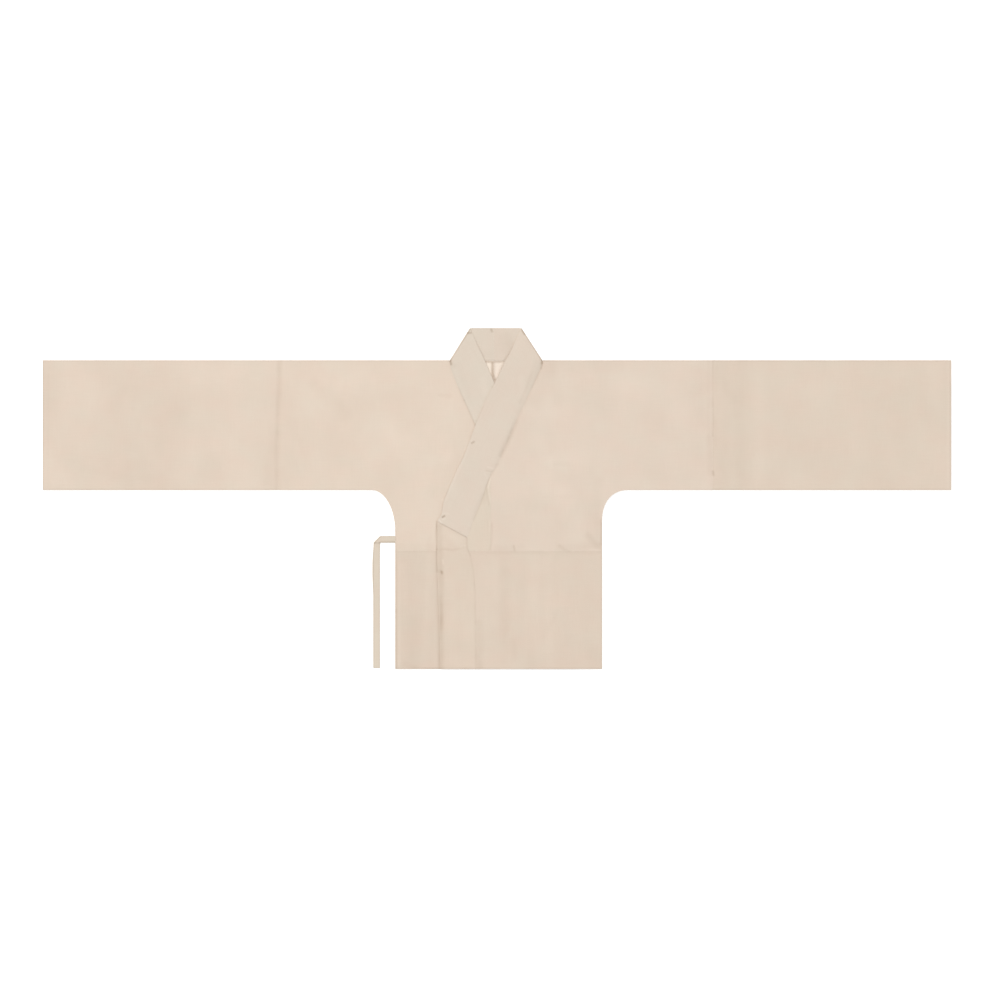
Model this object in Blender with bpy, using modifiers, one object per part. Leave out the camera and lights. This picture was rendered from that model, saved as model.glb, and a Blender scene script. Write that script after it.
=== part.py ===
"""A short zhiju jacket of plain beige cloth, laid out flat with its left front over its right.

Metres, +Z up. +Y runs towards the collar, and +X towards the wearer's left sleeve. The origin is in
the middle of the outline, on the surface that the jacket lies on. Each piece that is cut and sewn is
one closed wall of cloth, and a seam leaves it clear of the next one. Left and right are the wearer's.
"""
import math
from collections import namedtuple

import bmesh
import bpy
from mathutils import Vector

# All sizes below are in millimetres; a mesh takes them in metres.
MM = 0.001

# The cloth and how its layers lie
CLOTH = 1.2
COLLAR_CLOTH = 1.6
SEAM = 0.3
FRONT_LEVEL = CLOTH + SEAM
COLLAR_LEVEL = COLLAR_CLOTH + SEAM
OUTER_RISE = 2.4
OUTER_COLLAR_RISE = FRONT_LEVEL + OUTER_RISE - COLLAR_LEVEL
EDGE_DROP = 0.8
SETTLE = 100.0
FOLD_FADE = 60.0

# The outline, from the shoulder fold down
HALF_SPAN = 1090.0
HALF_HEIGHT = 409.0
SHOULDER = 331.7
UNDERARM = 21.1
WAIST = -126.0
CENTRE_BACK = -7.5
OUTER_CENTRE_FRONT = -14.4
INNER_CENTRE_FRONT = 14.4
EDGE_TURN = 14.0
# Where the line of the cloth that ends at the foot of the side seam meets the shoulder
SHOULDER_TURN = 150.0

# The tie at the right side seam: a strip that leaves the seam, is folded over and hangs along the skirt
TIE_WIDTH = 16.0
TIE_TOP = -90.0
TIE_INNER = -281.0
TIE_END = -407.0

# How finely a cloth is divided
BACK_ROWS = 3
FOLD_ROWS = 6
FRONT_ROWS = 10
SHOULDER_STEPS = 4
ARM_STEPS = 5
SLEEVE_STEPS = 9
BAND_STEPS = 4
SKIRT_STEPS = 30
SKIRT_ROWS = 6
SKIRT_ROW = 25.0
OVERLAP_ROWS = 4

CLOTH_COLOUR = (0.76, 0.65, 0.53)
SKIRT_COLOUR = (0.72, 0.61, 0.49)
COLLAR_COLOUR = (0.73, 0.63, 0.52)

# One half of the jacket. Its way is -1 on the right and 1 on the left, and sizes are positive outwards.
Half = namedtuple("Half", "name way side sleeve_seam arm_width arm_height arm_power rise folds")
# How high the front lies over the back, at a distance out from the middle
Rise = namedtuple("Rise", "out height")
# A soft upright fold in a skirt front, half as wide as it measures across
Fold = namedtuple("Fold", "x top low half_width height")
# A section across a collar, from its free edge to its sewn edge; lift 0 lies low and 1 on the other collar
Section = namedtuple("Section", "free_x free_y sewn_x sewn_y lift")
# A section across the band at the left front edge, from the open edge to the seam on the skirt
Band = namedtuple("Band", "edge_x edge_y seam_x seam_y")
# A line that a folded cloth lies along, up the back to the fold and down the front
Line = namedtuple("Line", "back_end back_top front_top front_end")

RIGHT = Half("right", -1, 243.0, 526.0, 58.0, 101.0, 2.0, (
    Rise(150.0, 0.0), Rise(243.0, 1.0), Rise(526.0, 1.4), Rise(800.0, 1.7), Rise(1090.0, 0.7)), (
    Fold(-176.0, -128.0, -400.0, 17.0, 0.7), Fold(-212.0, -150.0, -409.0, 20.0, 0.9)))
LEFT = Half("left", 1, 252.0, 518.0, 65.0, 77.0, 2.3, (
    Rise(252.0, OUTER_RISE), Rise(518.0, 1.4), Rise(800.0, 1.7), Rise(1090.0, 0.7)), (
    Fold(17.0, -150.0, -400.0, 15.0, 0.9), Fold(45.0, -128.0, -409.0, 17.0, 1.2),
    Fold(89.0, -140.0, -405.0, 22.0, 1.4), Fold(151.0, -128.0, -395.0, 19.0, 1.1),
    Fold(205.0, -170.0, -409.0, 22.0, 0.8)))

# The outer collar, down the left front to its pointed end at the front edge
OUTER_COLLAR = (
    Section(59.0, 409.0, 109.0, 330.0, 0.0),
    Section(45.5, 380.5, 107.5, 318.0, 0.25),
    Section(32.0, 351.5, 93.5, 294.0, 0.55),
    Section(18.0, 329.0, 79.0, 265.0, 0.85),
    Section(-6.0, 276.0, 57.5, 219.5, 1.0),
    Section(-25.5, 239.0, 42.0, 189.5, 1.0),
    Section(-48.0, 186.0, 25.0, 139.0, 1.0),
    Section(-65.0, 140.5, 12.0, 111.5, 1.0),
    Section(-81.5, 97.0, -0.5, 81.5, 1.0),
    Section(-96.0, 69.5, OUTER_CENTRE_FRONT, 57.0, 1.0),
    Section(-104.0, 50.0, -26.0, 32.0, 1.0),
    Section(-112.0, 32.0, -39.0, -8.5, 1.0),
    Section(-127.0, -3.5, -56.0, -49.0, 1.0),
    Section(-133.0, -36.0, -67.0, -82.5, 1.0),
    Section(-144.0, -54.5, -72.0, -93.0, 1.0))
OUTER_CENTRE = 9

# The inner collar, down the right front and on beneath the left one
INNER_COLLAR = (
    Section(-63.0, 409.0, -113.5, 330.0, 0.0),
    Section(-48.0, 371.0, -111.5, 317.0, 0.0),
    Section(-29.5, 331.0, -106.0, 299.0, 0.0),
    Section(-6.0, 276.0, -84.0, 246.0, 0.0),
    Section(11.0, 237.5, -66.0, 207.5, 0.0),
    Section(25.0, 204.0, -51.5, 175.5, 0.0),
    Section(44.5, 161.0, -31.0, 133.0, 0.0),
    Section(69.5, 104.5, -5.0, 79.0, 0.0),
    Section(90.0, 63.5, INNER_CENTRE_FRONT, 42.0, 0.0),
    Section(107.0, 32.5, 33.5, -8.5, 0.0),
    Section(122.5, -3.5, 50.5, -49.0, 0.0),
    Section(128.5, -32.5, 62.5, -80.5, 0.0),
    Section(139.0, -55.0, 68.5, -93.5, 0.0))
INNER_CENTRE = 8

FRONT_BAND = (
    Band(-144.0, -55.5, -72.0, -94.0),
    Band(-144.0, -90.0, -70.5, -110.0),
    Band(-144.0, -126.0, -69.0, -126.0),
    Band(-144.0, -139.0, -64.0, -139.0),
    Band(-143.5, -171.5, -56.5, -171.5),
    Band(-141.5, -219.5, -53.0, -219.5),
    Band(-138.5, -330.0, -51.5, -330.0),
    Band(-136.0, -409.0, -50.5, -409.0))
BAND_WAIST = 2

FOLD_RADIUS = (CLOTH + SEAM) / 2
FOLD_LINE = SHOULDER - FOLD_RADIUS - CLOTH / 2
# Each piece stops this far short of a seam line that it shares
SHORT = SEAM / 2


def mix(start, end, share):
    """Return the number or point at a share of the way from start to end."""
    if isinstance(start, tuple):
        return tuple(mix(one, other, share) for one, other in zip(start, end))
    return start + (end - start) * share


def along(rows, at, column, value):
    """Read a value from a table whose rows are in order of a column, between its rows."""
    for before, after in zip(rows, rows[1:]):
        start, end = getattr(before, column), getattr(after, column)
        if min(start, end) <= at <= max(start, end):
            return mix(getattr(before, value), getattr(after, value), (at - start) / (end - start))
    first, last = rows[0], rows[-1]
    nearest = min(first, last, key=lambda row: abs(getattr(row, column) - at))
    return getattr(nearest, value)


def settled(distance):
    """Rise softly from 0 at a closed edge to 1 once the cloth lies clear of it."""
    share = max(0.0, min(1.0, distance / SETTLE))
    return share * share * (3 - 2 * share)


def fold_height(folds, x, y):
    """The height that soft folds add at a point; each one fades out over its two ends."""
    height = 0.0
    for fold in folds:
        across = abs(x - fold.x) / fold.half_width
        inside = min(fold.top - y, y - fold.low)
        if across < 1 and inside > 0:
            height += fold.height * (1 - across ** 2) ** 2 * min(1.0, inside / FOLD_FADE)
    return height


def front_level(half, x, y):
    """The height of a front's underside: pressed on the back at closed edges, and raised inside them.

    It is kept to a hundredth of a millimetre, so that a flat stretch is quite flat.
    """
    out = half.way * x - half.side
    above = y - UNDERARM
    if out >= 0:
        to_seam = max(above, 0.0)
    elif above >= 0:
        to_seam = math.hypot(out, above)
    else:
        to_seam = -out
    to_edge = min(SHOULDER - y, to_seam)
    rise = along(half.rise, half.way * x, "out", "height") * settled(to_edge)
    return round(FRONT_LEVEL + rise + fold_height(half.folds, x, y), 2)


def material(name, colour):
    """A matt woven cloth of one colour."""
    cloth = bpy.data.materials.new(name)
    cloth.use_nodes = True
    shader = cloth.node_tree.nodes["Principled BSDF"]
    shader.inputs["Base Color"].default_value = (*colour, 1.0)
    shader.inputs["Roughness"].default_value = 0.9
    shader.inputs["Metallic"].default_value = 0.0
    return cloth


def sheet(name, columns, rows, place, wall, colour, open_cell=None):
    """Lay a grid of cloth by a function of its column and row, and give it its wall."""
    grid = bmesh.new()
    bmesh.ops.create_grid(grid, x_segments=columns, y_segments=rows, size=0.5)
    if open_cell:
        opened = []
        for face in grid.faces:
            middle = face.calc_center_median()
            if open_cell(math.floor((middle.x + 0.5) * columns), math.floor((middle.y + 0.5) * rows)):
                opened.append(face)
        bmesh.ops.delete(grid, geom=opened, context="FACES")
    for point in grid.verts:
        column = round((point.co.x + 0.5) * columns)
        row = round((point.co.y + 0.5) * rows)
        point.co = Vector(place(column, row)) * MM
    mesh = bpy.data.meshes.new(name)
    grid.to_mesh(mesh)
    grid.free()
    mesh.shade_smooth()
    mesh.set_sharp_from_angle(angle=math.radians(40))
    mesh.materials.append(material(name, colour))
    piece = bpy.data.objects.new(name, mesh)
    JACKET.objects.link(piece)
    thick = piece.modifiers.new("Wall", "SOLIDIFY")
    thick.thickness = wall * MM
    thick.offset = 0.0
    thick.use_even_offset = True
    return piece


def underarm_ends(half):
    """The ends of the lines that fan out from the shoulder: down the side, round the underarm and on."""
    low = UNDERARM - half.arm_height
    ends = [(half.side, WAIST + SHORT), (half.side, mix(WAIST, low, 0.5))]
    for step in range(ARM_STEPS + 1):
        turn = math.pi / 2 * step / ARM_STEPS
        across = math.cos(turn) ** (2 / half.arm_power)
        up = math.sin(turn) ** (2 / half.arm_power)
        ends.append((half.side + half.arm_width * (1 - across), low + half.arm_height * up))
    curve_end = half.side + half.arm_width
    for step in range(1, ARM_STEPS):
        ends.append((mix(curve_end, half.sleeve_seam - SHORT, step / (ARM_STEPS - 1)), UNDERARM))
    return ends


def folded(lines, half):
    """Place the points of a cloth that goes up the back, round the shoulder fold and down the front."""
    def place(column, row):
        line = lines[column]
        if row <= BACK_ROWS:
            x, y = mix(line.back_end, line.back_top, row / BACK_ROWS)
            return x, y, CLOTH / 2
        if row < BACK_ROWS + FOLD_ROWS:
            turn = math.pi * (row - BACK_ROWS) / FOLD_ROWS
            x, y = line.back_top
            return x, y + FOLD_RADIUS * math.sin(turn), CLOTH / 2 + FOLD_RADIUS * (1 - math.cos(turn))
        x, y = mix(line.front_top, line.front_end, (row - BACK_ROWS - FOLD_ROWS) / FRONT_ROWS)
        return x, y, front_level(half, x, y) + CLOTH / 2
    return place


def body(half, collar, centre_row, centre_front):
    """One half of the upper body, back and front in one cloth, with its front cut to the collar."""
    neck = collar[:centre_row + 1]
    back_edge = CENTRE_BACK + half.way * SHORT
    corner = neck[0].sewn_x + half.way * SEAM
    turn = half.way * SHOULDER_TURN
    lines = []
    for step, section in enumerate(reversed(neck[1:])):
        back_x = mix(back_edge, corner, step / (len(neck) - 1))
        front_x = section.sewn_x
        if step == 0:
            front_x = centre_front + half.way * SHORT
        front_top = (front_x, section.sewn_y)
        lines.append(Line((back_x, WAIST + SHORT), (back_x, FOLD_LINE), front_top, (front_x, WAIST + SHORT)))
    open_lines = len(lines)
    for step in range(SHOULDER_STEPS):
        top = (mix(corner, turn, step / SHOULDER_STEPS), FOLD_LINE)
        end = (mix(corner, half.way * half.side, step / SHOULDER_STEPS), WAIST + SHORT)
        lines.append(Line(end, top, top, end))
    ends = underarm_ends(half)
    for step, (out, y) in enumerate(ends):
        top = (half.way * mix(SHOULDER_TURN, half.sleeve_seam - SHORT, step / (len(ends) - 1)), FOLD_LINE)
        end = (half.way * out, y)
        lines.append(Line(end, top, top, end))

    def neck_opening(column, row):
        return column < open_lines and BACK_ROWS <= row < BACK_ROWS + FOLD_ROWS

    sheet("body_" + half.name, len(lines) - 1, BACK_ROWS + FOLD_ROWS + FRONT_ROWS,
          folded(lines, half), CLOTH, CLOTH_COLOUR, neck_opening)


def sleeve(half):
    """A sleeve: a cloth folded at the top and closed by the underarm seam, open at the cuff."""
    lines = []
    for step in range(SLEEVE_STEPS + 1):
        x = half.way * mix(half.sleeve_seam + SHORT, HALF_SPAN, step / SLEEVE_STEPS)
        lines.append(Line((x, UNDERARM), (x, FOLD_LINE), (x, FOLD_LINE), (x, UNDERARM)))
    sheet("sleeve_" + half.name, SLEEVE_STEPS, BACK_ROWS + FOLD_ROWS + FRONT_ROWS,
          folded(lines, half), CLOTH, CLOTH_COLOUR)


def collar(name, sections, way):
    """Half of the collar band: along the back of the neck, over at the neck corner and down the front."""
    stations = []
    back_x = CENTRE_BACK + way * SHORT
    first = sections[0]
    fold_radius = (COLLAR_CLOTH + SEAM) / 2
    crease = Vector((first.free_x - first.sewn_x, first.free_y - first.sewn_y)).normalized()
    outward = Vector((way * abs(crease.y), abs(crease.x)))
    inset = outward * (fold_radius + COLLAR_CLOTH / 2)
    free_corner = Vector((first.free_x, first.free_y)) - inset
    free_corner.y = HALF_HEIGHT - inset.y
    sewn_corner = Vector((first.sewn_x, first.sewn_y)) - inset
    sewn_corner.y = FOLD_LINE + SEAM
    for share in (0.0, 0.5):
        free = (mix(back_x, free_corner.x, share), HALF_HEIGHT)
        sewn = (mix(back_x, sewn_corner.x, share), FOLD_LINE + SEAM)
        stations.append((free, sewn, COLLAR_CLOTH / 2))
    for step in range(FOLD_ROWS + 1):
        turn = math.pi * step / FOLD_ROWS
        reach = outward * fold_radius * math.sin(turn)
        height = COLLAR_CLOTH / 2 + fold_radius * (1 - math.cos(turn))
        stations.append((tuple(free_corner + reach), tuple(sewn_corner + reach), height))
    for section in sections[1:]:
        free = (section.free_x, section.free_y)
        sewn = Vector((section.sewn_x, section.sewn_y))
        sewn = sewn + (Vector(free) - sewn).normalized() * SEAM * 1.5
        height = COLLAR_LEVEL + section.lift * OUTER_COLLAR_RISE + COLLAR_CLOTH / 2
        stations.append((free, tuple(sewn), height))

    def place(column, row):
        free, sewn, height = stations[row]
        return (*mix(free, sewn, column / BAND_STEPS), height)

    sheet(name, BAND_STEPS, len(stations) - 1, place, COLLAR_CLOTH, COLLAR_COLOUR)


def overlap(name, half, tops, ends):
    """The piece that widens a front past its centre seam, from the collar's sewn edge down to the waist."""
    def place(column, row):
        x, y = mix(tops[column], ends[column], row / OVERLAP_ROWS)
        return x, y, front_level(half, x, y) + CLOTH / 2

    sheet(name, len(tops) - 1, OVERLAP_ROWS, place, CLOTH, CLOTH_COLOUR)


def overlaps():
    """The outer overlap between the centre seam and the front band, and the plain inner one beneath."""
    sewn = [(section.sewn_x, section.sewn_y) for section in OUTER_COLLAR[OUTER_CENTRE:]]
    sewn[0] = (OUTER_CENTRE_FRONT - SHORT, sewn[0][1])
    sewn[-1] = (sewn[-1][0] + SHORT, sewn[-1][1])
    low_x = FRONT_BAND[BAND_WAIST].seam_x + SHORT
    share = (sewn[0][0] - low_x) / (sewn[0][0] - sewn[-1][0])
    ends = [(sewn[0][0] - (sewn[0][0] - x) * share, WAIST + SHORT) for x, y in sewn]
    overlap("overlap_left", LEFT, sewn, ends)
    inner = [(section.sewn_x, section.sewn_y) for section in INNER_COLLAR[INNER_CENTRE:]]
    inner[0] = (INNER_CENTRE_FRONT + SHORT, inner[0][1])
    last = INNER_COLLAR[-1]
    inner[-1] = (inner[-1][0], inner[-1][1] - 2 * SEAM)
    inner.append((last.free_x, last.free_y - 2 * SEAM))
    overlap("overlap_right", RIGHT, inner, [(x, WAIST + SHORT) for x, y in inner])


def front_band():
    """The band down the left front edge, from the collar's end to the hem, with its edge turned under."""
    def place(column, row):
        band = FRONT_BAND[row]
        edge = (band.edge_x, band.edge_y)
        seam = (band.seam_x - SHORT, band.seam_y)
        turned = EDGE_TURN / (seam[0] - edge[0])
        share = (0.0, turned, (1 + turned) / 2, 1.0)[column]
        x, y = mix(edge, seam, share)
        drop = EDGE_DROP if column == 0 else 0.0
        return x, y, front_level(LEFT, x, y) + CLOTH / 2 - drop

    sheet("front_band_left", 3, len(FRONT_BAND) - 1, place, CLOTH, SKIRT_COLOUR)


def skirt():
    """The skirt below the waist seam: the back in one piece, and the two fronts over it."""
    def back_place(column, row):
        return mix(-RIGHT.side, LEFT.side, column), mix(WAIST - SHORT, -HALF_HEIGHT, row), CLOTH / 2

    def right_place(column, row):
        x = mix(-RIGHT.side, INNER_COLLAR[-1].free_x, column / SKIRT_STEPS)
        y = mix(WAIST - SHORT, -HALF_HEIGHT, row / SKIRT_ROWS)
        return x, y, front_level(RIGHT, x, y) + CLOTH / 2

    heights = [WAIST - SHORT]
    for before, after in zip(FRONT_BAND[BAND_WAIST:], FRONT_BAND[BAND_WAIST + 1:]):
        steps = max(1, round((before.seam_y - after.seam_y) / SKIRT_ROW))
        heights += [mix(before.seam_y, after.seam_y, (step + 1) / steps) for step in range(steps)]

    def left_place(column, row):
        y = heights[row]
        x = mix(along(FRONT_BAND, y, "seam_y", "seam_x") + SHORT, LEFT.side, column / SKIRT_STEPS)
        return x, y, front_level(LEFT, x, y) + CLOTH / 2

    sheet("skirt_back", 1, 1, back_place, CLOTH, SKIRT_COLOUR)
    sheet("skirt_right", SKIRT_STEPS, SKIRT_ROWS, right_place, CLOTH, SKIRT_COLOUR)
    sheet("skirt_left", SKIRT_STEPS, len(heights) - 1, left_place, CLOTH, SKIRT_COLOUR)


def tie():
    """The tie: out of the side seam, over on a slanted fold, and down beside the skirt."""
    low = TIE_TOP - TIE_WIDTH
    outer = TIE_INNER - TIE_WIDTH
    root_x = -RIGHT.side - SEAM
    over = FRONT_LEVEL + CLOTH / 2
    outward = Vector((-1.0, 1.0)).normalized()
    inset = outward * (FOLD_RADIUS + CLOTH / 2)
    stations = [((root_x, TIE_TOP), (root_x, low), over)]
    for step in range(FOLD_ROWS + 1):
        turn = math.pi * step / FOLD_ROWS
        reach = outward * FOLD_RADIUS * math.sin(turn) - inset
        height = over - FOLD_RADIUS * (1 - math.cos(turn))
        stations.append(((TIE_INNER + reach.x, TIE_TOP + reach.y), (outer + reach.x, low + reach.y), height))
    for share in (0.1, 0.4, 0.7, 1.0):
        y = mix(low, TIE_END, share)
        stations.append(((TIE_INNER, y), (outer, y), CLOTH / 2))

    def place(column, row):
        one, other, height = stations[row]
        return (*mix(one, other, column / 2), height)

    sheet("tie_right", 2, len(stations) - 1, place, CLOTH, CLOTH_COLOUR)


for old in list(bpy.data.objects):
    bpy.data.objects.remove(old, do_unlink=True)
JACKET = bpy.data.collections.new("Zhiju jacket")
bpy.context.scene.collection.children.link(JACKET)

body(RIGHT, INNER_COLLAR, INNER_CENTRE, INNER_CENTRE_FRONT)
body(LEFT, OUTER_COLLAR, OUTER_CENTRE, OUTER_CENTRE_FRONT)
sleeve(RIGHT)
sleeve(LEFT)
collar("collar_right", INNER_COLLAR, -1)
collar("collar_left", OUTER_COLLAR, 1)
overlaps()
front_band()
skirt()
tie()
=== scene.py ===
"""The looks of a short zhiju jacket of plain beige cloth, laid out flat and seen from straight above.

Sizes are in millimetres, and a mesh takes them in metres. The origin is in the middle of the outline,
+X towards the wearer's left cuff and +Y towards the collar. Left and right are the wearer's.
"""
import math
from collections import namedtuple

import bpy
import numpy as np
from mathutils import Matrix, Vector, noise


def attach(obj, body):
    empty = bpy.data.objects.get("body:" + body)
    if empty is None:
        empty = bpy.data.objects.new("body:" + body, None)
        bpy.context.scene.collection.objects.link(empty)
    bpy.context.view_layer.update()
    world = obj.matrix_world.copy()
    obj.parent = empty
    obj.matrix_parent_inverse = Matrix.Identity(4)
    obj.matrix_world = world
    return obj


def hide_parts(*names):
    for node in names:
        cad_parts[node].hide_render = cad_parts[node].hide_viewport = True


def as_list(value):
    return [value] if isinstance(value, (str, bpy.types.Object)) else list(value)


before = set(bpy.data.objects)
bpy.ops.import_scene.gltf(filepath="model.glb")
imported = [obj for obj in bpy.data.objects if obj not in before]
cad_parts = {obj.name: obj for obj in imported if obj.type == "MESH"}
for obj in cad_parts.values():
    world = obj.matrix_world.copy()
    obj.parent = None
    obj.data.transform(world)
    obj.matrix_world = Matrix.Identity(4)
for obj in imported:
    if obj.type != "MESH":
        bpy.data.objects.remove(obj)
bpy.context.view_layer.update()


# The table, the light and the camera
# The jacket lies on a wide, white, matt table, lit a little from below, in the even light of a studio. The
# camera looks straight down on it, without perspective, and 2.4 m of the table show across the picture.
MM = 0.001
TABLE_WIDTH = 14000.0
TABLE_LEVEL = -0.3
TABLE_COLOUR = (0.97, 0.97, 0.97, 1.0)
TABLE_GLOW = 0.27
VIEW_WIDTH = 2400.0
VIEW_CENTRE = (7.2, -3.6)
VIEW_HEIGHT = 3000.0
LIGHT_FROM = (-0.55, 0.7, 1.0)
LIGHT_SPREAD = 35.0
LIGHT_STRENGTH = 1.35
ROOM_COLOUR = (1.0, 1.0, 1.0, 1.0)
ROOM_STRENGTH = 0.74


class Value:
    """A socket of a finish. Arithmetic on it adds Math nodes."""

    def __init__(self, finish, socket):
        self.finish = finish
        self.socket = socket

    def math(self, operation, *others):
        sockets = dict(enumerate((self, *others)))
        return self.finish.add("Math", {"operation": operation}, sockets)

    def __add__(self, other):
        return self.math("ADD", other)

    def __sub__(self, other):
        return self.math("SUBTRACT", other)

    def __mul__(self, other):
        return self.math("MULTIPLY", other)

    __radd__ = __add__
    __rmul__ = __mul__


class Finish:
    """The nodes of one material, round its Principled shader."""

    def __init__(self, name):
        self.material = bpy.data.materials.new(name)
        self.material.use_nodes = True
        self.tree = self.material.node_tree
        self.shader = self.tree.nodes["Principled BSDF"]

    def feed(self, socket, value):
        """Set a socket, or link it where the value comes from another node."""
        if isinstance(value, Value):
            self.tree.links.new(value.socket, socket)
        else:
            socket.default_value = value

    def add(self, kind, settings, sockets, output=0):
        """Add a node, with its settings made before its sockets are fed."""
        node = self.tree.nodes.new("ShaderNode" + kind)
        for name, setting in settings.items():
            setattr(node, name, setting)
        for name, value in sockets.items():
            self.feed(node.inputs[name], value)
        return Value(self, node.outputs[output])

    def set(self, **sockets):
        """Feed the shader's own sockets, whose names have underscores for spaces here."""
        for name, value in sockets.items():
            self.feed(self.shader.inputs[name.replace("_", " ")], value)


def deselect():
    bpy.ops.object.select_all(action="DESELECT")


deselect()
bpy.ops.mesh.primitive_plane_add(size=TABLE_WIDTH * MM, location=(0, 0, TABLE_LEVEL * MM))
table_top = bpy.context.active_object
table_top.name = "table_top"
table_finish = Finish("table")
table_finish.set(Base_Color=TABLE_COLOUR, Roughness=1.0, Specular_IOR_Level=0.0,
                 Emission_Color=TABLE_COLOUR, Emission_Strength=TABLE_GLOW)
table_top.data.materials.append(table_finish.material)

toward_light = Vector(LIGHT_FROM).to_track_quat("Z", "Y").to_euler()
bpy.ops.object.light_add(type="SUN", location=(0, 0, VIEW_HEIGHT * MM), rotation=toward_light)
softbox = bpy.context.active_object
softbox.name = "softbox"
softbox.data.energy = LIGHT_STRENGTH
softbox.data.angle = math.radians(LIGHT_SPREAD)

room = bpy.data.worlds.new("room")
room.use_nodes = True
room.node_tree.nodes["Background"].inputs["Color"].default_value = ROOM_COLOUR
room.node_tree.nodes["Background"].inputs["Strength"].default_value = ROOM_STRENGTH
bpy.context.scene.world = room
bpy.context.scene.view_settings.view_transform = "Standard"

camera_place = (VIEW_CENTRE[0] * MM, VIEW_CENTRE[1] * MM, VIEW_HEIGHT * MM)
bpy.ops.object.camera_add(location=camera_place, rotation=(0, 0, 0))
camera = bpy.context.active_object
camera.name = "camera"
camera.data.type = "ORTHO"
camera.data.ortho_scale = VIEW_WIDTH * MM
bpy.context.scene.camera = camera


# The right half of the upper body
# One width of plain hand loom cloth goes up the back, over the shoulder and down the front, folded at
# the shoulder line. Its front is cut away to the collar, and its side and underarm are curved seams.
BODY_RIGHT_COLOUR = (0.747, 0.624, 0.513)
SHOULDER = 332.0
UNDERARM = 20.4
WAIST = -126.0
CENTRE_BACK = -7.5
INNER_CENTRE_FRONT = 14.4
SHOULDER_TURN = 150.0
# A layer of the solids with the gap at its seams, then the cloth that shows, which stops just short of a seam
CLOTH = 1.2
SEAM = 0.3
SHELL = 0.8
SHORT = 0.03
FRONT_LEVEL = CLOTH + SEAM
OUTER_RISE = 2.4
FOLD_RADIUS = (CLOTH + SEAM) / 2
FOLD_LINE = SHOULDER - FOLD_RADIUS - CLOTH / 2
# The steps of the grids, closer together at both ends, and on the back toward the shoulder
BACK_ROWS = 38
FOLD_ROWS = 8
FRONT_ROWS = 128
NECK_STEPS = 60
SHOULDER_STEPS = 34
SIDE_STEPS = 18
ARM_STEPS = 32
UNDERARM_STEPS = 46
CLOSER = 0.5
TOWARD_SHOULDER = 2
# How freely the cloth lies away from a closed edge, how it waves, how uneven its marks are, and its edges
ON_TABLE = -1.0
SETTLE = 100.0
FOLD_FADE = 60.0
WAVE_LENGTH = 130.0
WAVE_HEIGHT = 0.22
UNEVEN_LENGTH = 26.0
UNEVEN = 0.45
UNEVEN_PLANE = 0.5
ROUNDING = 0.08
ROUNDING_STEPS = 2
ROUNDED_ANGLE = 60.0
SMOOTH_ANGLE = 50.0
# The shade of the back stretch, painted paler than the front where its inner side shows, and the painted
# shade along the shoulder fold
INSIDE = -0.27
FOLD_SHADE = 0.1

Half = namedtuple("Half", "name way side sleeve_seam arm_width arm_height arm_power rise folds")
# How high a front lies at a distance from the centre, and an upright fold in it
Rise = namedtuple("Rise", "out height")
Fold = namedtuple("Fold", "x top low half_width height")
# A section across a collar, from its free edge to its sewn edge; lift 1 lies on the other collar
Section = namedtuple("Section", "free_x free_y sewn_x sewn_y lift")
# A line of a folded cloth, up its back and down its front
Line = namedtuple("Line", "back_end back_top front_top front_end")
# A soft trough along a line of points, with its painted shade. A depth under 0 is a ridge.
# A shade under 0 is a painted highlight, paler.
Mark = namedtuple("Mark", "points width depth shade")
# Where a point of the cloth lies, how freely, its place on the flat cloth, and a shade of its own
Spot = namedtuple("Spot", "x y z free across along shade")

RIGHT = Half(
    name="right", way=-1, side=244.3, sleeve_seam=526.0, arm_width=56.7, arm_height=100.3, arm_power=2.0,
    rise=(Rise(150.0, 0.0), Rise(243.0, 1.0), Rise(526.0, 1.4), Rise(800.0, 1.7), Rise(1090.0, 0.7)),
    folds=(Fold(-160.0, -140.0, -400.0, 18.0, 0.5), Fold(-224.0, -150.0, -409.0, 22.0, 0.5)))

INNER_COLLAR = (
    Section(-65.2, 409.0, -113.5, 330.0, 0.0),
    Section(-48.0, 371.0, -111.5, 317.0, 0.0),
    Section(-29.5, 331.0, -106.0, 299.0, 0.0),
    Section(-6.0, 276.0, -84.0, 246.0, 0.0),
    Section(11.0, 237.5, -66.0, 207.5, 0.0),
    Section(25.0, 204.0, -51.5, 175.5, 0.0),
    Section(44.5, 161.0, -31.0, 133.0, 0.0),
    Section(69.5, 104.5, -5.0, 79.0, 0.0),
    Section(90.0, 63.5, INNER_CENTRE_FRONT, 42.0, 0.0),
    Section(107.0, 32.5, 33.5, -8.5, 0.0),
    Section(122.5, -3.5, 50.5, -49.0, 0.0),
    Section(128.5, -32.5, 62.5, -80.5, 0.0),
    Section(139.0, -55.0, 68.5, -93.5, 0.0))
INNER_CENTRE = 8

# Painted shade along the right sleeve seam and beside it, over a shallow trough
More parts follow.
